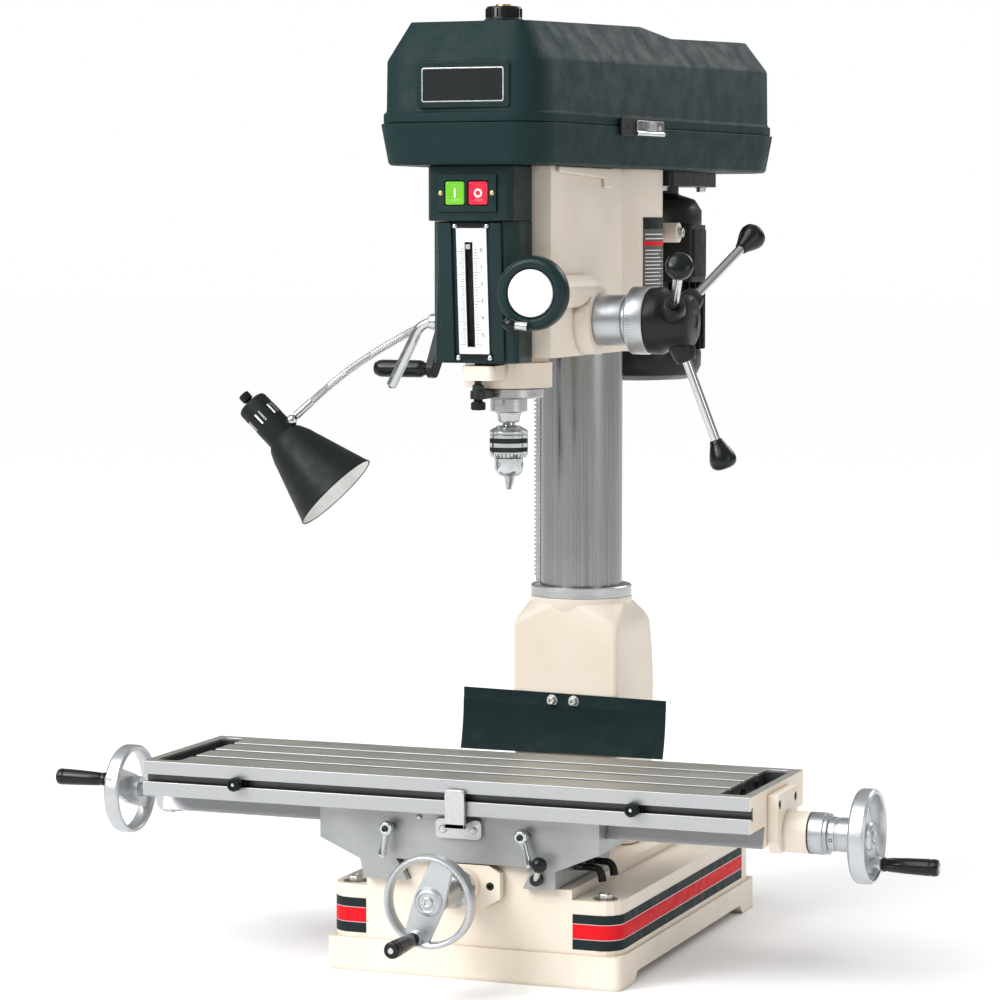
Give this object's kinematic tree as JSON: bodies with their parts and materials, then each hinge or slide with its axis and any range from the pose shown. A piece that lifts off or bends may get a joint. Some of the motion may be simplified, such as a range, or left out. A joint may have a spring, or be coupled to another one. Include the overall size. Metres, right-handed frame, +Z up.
{
  "type": "vertical milling machine",
  "caption": "Bench mill and drill with a round column, cross-slide table with handwheels, belt-driven swivelling head, drill chuck, coarse and fine quill feed, and work lamp.",
  "frame": {"origin": "on the floor, where the column's axis meets the underside of the base", "axes": "+X along the table to the operator's right, +Y to the back of the machine, +Z up the column"},
  "size_m": [1.222, 1.0692, 1.275],
  "materials": {
    "ivory_paint": "satin enamel on cast iron",
    "green_paint": "fine textured enamel",
    "black_paint": "semi-gloss enamel",
    "ground_steel": "ground",
    "machined_iron": "machined and scraped",
    "chrome": "bright plated",
    "alloy": "cast and turned",
    "black_plastic": "moulded",
    "guard_rubber": "matte sheet",
    "belt_rubber": "fabric-backed",
    "green_button": "gloss",
    "red_button": "gloss",
    "lamp_glass": "frosted"
  },
  "bodies": {
    "base": {"base_casting": "ivory_paint", "pedestal": "ivory_paint", "column": "ground_steel", "chip_guard": "guard_rubber", "cross_bracket": "ivory_paint"},
    "rack": {"column_rack": "ground_steel"},
    "saddle": {"saddle": "machined_iron"},
    "table_lock_left": {"table_lock_left": "ground_steel"},
    "table_lock_right": {"table_lock_right": "ground_steel"},
    "saddle_lock_front": {"saddle_lock_front": "black_paint"},
    "saddle_lock_rear": {"saddle_lock_rear": "black_paint"},
    "saddle_ball_lever": {"saddle_ball_lever": "black_plastic"},
    "table": {"table": "machined_iron", "left_bracket": "ivory_paint", "right_bracket": "ivory_paint"},
    "stop_dog_left": {"stop_dog_left": "black_paint"},
    "stop_dog_right": {"stop_dog_right": "black_paint"},
    "long_feed": {"long_screw": "ground_steel", "long_dial": "ground_steel", "left_wheel": "alloy", "right_wheel": "alloy"},
    "left_grip": {"left_grip": "black_plastic"},
    "right_grip": {"right_grip": "black_plastic"},
    "cross_feed": {"cross_screw": "ground_steel", "cross_dial": "ground_steel", "cross_wheel": "alloy"},
    "cross_grip": {"cross_grip": "black_plastic"},
    "head": {"head_casting": "ivory_paint", "front_cover": "green_paint", "scale_plate": "ground_steel", "switch_box": "green_paint", "belt_tray": "green_paint", "motor": "black_paint", "lamp_neck": "chrome", "front_belt": "belt_rubber", "rear_belt": "belt_rubber"},
    "start_button": {"start_button": "green_button"},
    "stop_button": {"stop_button": "red_button"},
    "lid": {"belt_lid": "green_paint"},
    "latch": {"lid_latch": "chrome"},
    "spindle_drive": {"spindle_pulley": "alloy"},
    "idler": {"idler_pulley": "alloy"},
    "motor_rotor": {"motor_pulley": "alloy"},
    "quill": {"quill": "ground_steel", "depth_stop": "ground_steel"},
    "spindle": {"spindle": "ground_steel", "chuck_body": "ground_steel"},
    "chuck_sleeve": {"chuck_sleeve": "ground_steel"},
    "coarse_feed": {"feed_dial": "alloy", "feed_hub": "black_plastic", "feed_spoke_1": "chrome", "feed_spoke_2": "chrome", "feed_spoke_3": "chrome"},
    "fine_feed": {"fine_wheel": "green_paint"},
    "lift": {"lift_crank": "black_paint"},
    "lift_grip": {"lift_grip": "black_plastic"},
    "quill_lock": {"quill_lock": "chrome"},
    "lamp": {"lamp_shade": "black_paint", "lamp_bulb": "lamp_glass"},
    "lamp_switch": {"lamp_switch": "black_plastic"}
  },
  "joints": [
    {"name": "saddle_slide", "type": "slide", "parent": "base", "child": "saddle", "axis": [0, 1, 0], "range_m": [-0.08, 0.097]},
    {"name": "cross_feed_turn", "type": "hinge", "parent": "base", "child": "cross_feed", "pos_m": [-0.005, -0.56, 0.128], "axis": [0, 1, 0], "range_deg": [-11338.6, 13748.1]},
    {"name": "cross_grip_spin", "type": "hinge", "parent": "cross_feed", "child": "cross_grip", "pos_m": [-0.02244, -0.6, 0.08008], "axis": [0, 1, 0], "continuous": true},
    {"name": "table_slide", "type": "slide", "parent": "saddle", "child": "table", "axis": [1, 0, 0], "range_m": [-0.172, 0.24]},
    {"name": "long_feed_turn", "type": "hinge", "parent": "table", "child": "long_feed", "pos_m": [0.511, -0.352, 0.21], "axis": [1, 0, 0], "range_deg": [-24378, 34015.8]},
    {"name": "right_grip_spin", "type": "hinge", "parent": "long_feed", "child": "right_grip", "pos_m": [0.554, -0.32131, 0.16927], "axis": [1, 0, 0], "continuous": true},
    {"name": "left_grip_spin", "type": "hinge", "parent": "long_feed", "child": "left_grip", "pos_m": [-0.577, -0.39929, 0.22911], "axis": [1, 0, 0], "continuous": true},
    {"name": "table_lock_left_turn", "type": "hinge", "parent": "saddle", "child": "table_lock_left", "pos_m": [-0.107, -0.45, 0.199], "axis": [0, 1, 0], "range_deg": [0, 60]},
    {"name": "table_lock_right_turn", "type": "hinge", "parent": "saddle", "child": "table_lock_right", "pos_m": [0.081, -0.45, 0.199], "axis": [0, 1, 0], "range_deg": [0, 60]},
    {"name": "saddle_lock_front_turn", "type": "hinge", "parent": "saddle", "child": "saddle_lock_front", "pos_m": [0.1263, -0.365, 0.1475], "axis": [1, 0, 0], "range_deg": [-45, 0]},
    {"name": "saddle_lock_rear_turn", "type": "hinge", "parent": "saddle", "child": "saddle_lock_rear", "pos_m": [0.1263, -0.318, 0.1475], "axis": [1, 0, 0], "range_deg": [-45, 0]},
    {"name": "ball_lever_turn", "type": "hinge", "parent": "saddle", "child": "saddle_ball_lever", "pos_m": [0.097, -0.445, 0.142], "axis": [0, 1, 0], "range_deg": [0, 45]},
    {"name": "stop_dog_left_slide", "type": "slide", "parent": "table", "child": "stop_dog_left", "axis": [1, 0, 0], "range_m": [-0.1, 0.03]},
    {"name": "stop_dog_right_slide", "type": "slide", "parent": "table", "child": "stop_dog_right", "axis": [1, 0, 0], "range_m": [0, 0.13]},
    {"name": "head_swivel", "type": "hinge", "parent": "base", "child": "rack", "pos_m": [0, 0, 0.472], "axis": [0, 0, 1], "range_deg": [-180, 180]},
    {"name": "head_lift", "type": "slide", "parent": "rack", "child": "head", "axis": [0, 0, -1], "range_m": [0, 0.14]},
    {"name": "lift_crank_turn", "type": "hinge", "parent": "head", "child": "lift", "pos_m": [-0.14, -0.15, 0.85], "axis": [-1, 0, 0], "range_deg": [0, 7937.1]},
    {"name": "lift_grip_spin", "type": "hinge", "parent": "lift", "child": "lift_grip", "pos_m": [-0.19, -0.2, 0.789], "axis": [1, 0, 0], "continuous": true},
    {"name": "quill_slide", "type": "slide", "parent": "head", "child": "quill", "axis": [0, 0, -1], "range_m": [0, 0.127]},
    {"name": "coarse_feed_turn", "type": "hinge", "parent": "head", "child": "coarse_feed", "pos_m": [0.16, -0.23, 0.859], "axis": [1, 0, 0], "range_deg": [0, 449.17], "stiffness_Nm_per_rad": 0.3, "springref_deg": -458.37},
    {"name": "fine_feed_turn", "type": "hinge", "parent": "head", "child": "fine_feed", "pos_m": [0.086, -0.4, 0.898], "axis": [0, 1, 0], "range_deg": [0, 17966.83]},
    {"name": "spindle_spin", "type": "hinge", "parent": "quill", "child": "spindle", "pos_m": [0, -0.29, 0.8], "axis": [0, 0, 1], "continuous": true},
    {"name": "chuck_sleeve_turn", "type": "hinge", "parent": "spindle", "child": "chuck_sleeve", "pos_m": [0, -0.29, 0.69], "axis": [0, 0, 1], "range_deg": [0, 1440]},
    {"name": "motor_spin", "type": "hinge", "parent": "head", "child": "motor_rotor", "pos_m": [0, 0.245, 1.1], "axis": [0, 0, 1], "continuous": true},
    {"name": "idler_spin", "type": "hinge", "parent": "head", "child": "idler", "pos_m": [0, -0.04, 1.1], "axis": [0, 0, 1], "continuous": true},
    {"name": "spindle_drive_spin", "type": "hinge", "parent": "head", "child": "spindle_drive", "pos_m": [0, -0.29, 1.1], "axis": [0, 0, 1], "continuous": true},
    {"name": "lid_hinge", "type": "hinge", "parent": "head", "child": "lid", "pos_m": [-0.158, 0, 1.116], "axis": [0, -1, 0], "range_deg": [0, 90]},
    {"name": "latch_turn", "type": "hinge", "parent": "head", "child": "latch", "pos_m": [0.1411, -0.1303, 1.105], "axis": [0.1149, 0.9934, 0], "range_deg": [0, 90]},
    {"name": "start_press", "type": "slide", "parent": "head", "child": "start_button", "axis": [0, 1, 0], "range_m": [0, 0.004], "stiffness_N_per_m": 600, "springref_m": -0.002},
    {"name": "stop_press", "type": "slide", "parent": "head", "child": "stop_button", "axis": [0, 1, 0], "range_m": [0, 0.004], "stiffness_N_per_m": 600, "springref_m": -0.002},
    {"name": "quill_lock_turn", "type": "hinge", "parent": "head", "child": "quill_lock", "pos_m": [-0.09, -0.33, 0.857], "axis": [1, 0, 0], "range_deg": [-50, 0]},
    {"name": "lamp_tilt", "type": "hinge", "parent": "head", "child": "lamp", "pos_m": [-0.30226, -0.32102, 0.72162], "axis": [0, 1, 0], "range_deg": [-25, 25]},
    {"name": "lamp_switch_turn", "type": "hinge", "parent": "lamp", "child": "lamp_switch", "pos_m": [-0.36646, -0.32634, 0.75046], "axis": [0.7048, 0.0806, -0.7048], "range_deg": [0, 90]}
  ],
  "couplings": [
    {"joint": "cross_feed_turn", "follows": "saddle_slide", "rad_per_m": 2473.7},
    {"joint": "long_feed_turn", "follows": "table_slide", "rad_per_m": 2473.7},
    {"joint": "lift_crank_turn", "follows": "head_lift", "rad_per_m": 989.48},
    {"joint": "quill_slide", "follows": "coarse_feed_turn", "m_per_rad": 0.0162},
    {"joint": "fine_feed_turn", "follows": "coarse_feed_turn", "ratio": 40},
    {"joint": "idler_spin", "follows": "motor_spin", "ratio": 0.5},
    {"joint": "spindle_drive_spin", "follows": "motor_spin", "ratio": 0.40323},
    {"joint": "spindle_spin", "follows": "motor_spin", "ratio": 0.40323}
  ]
}
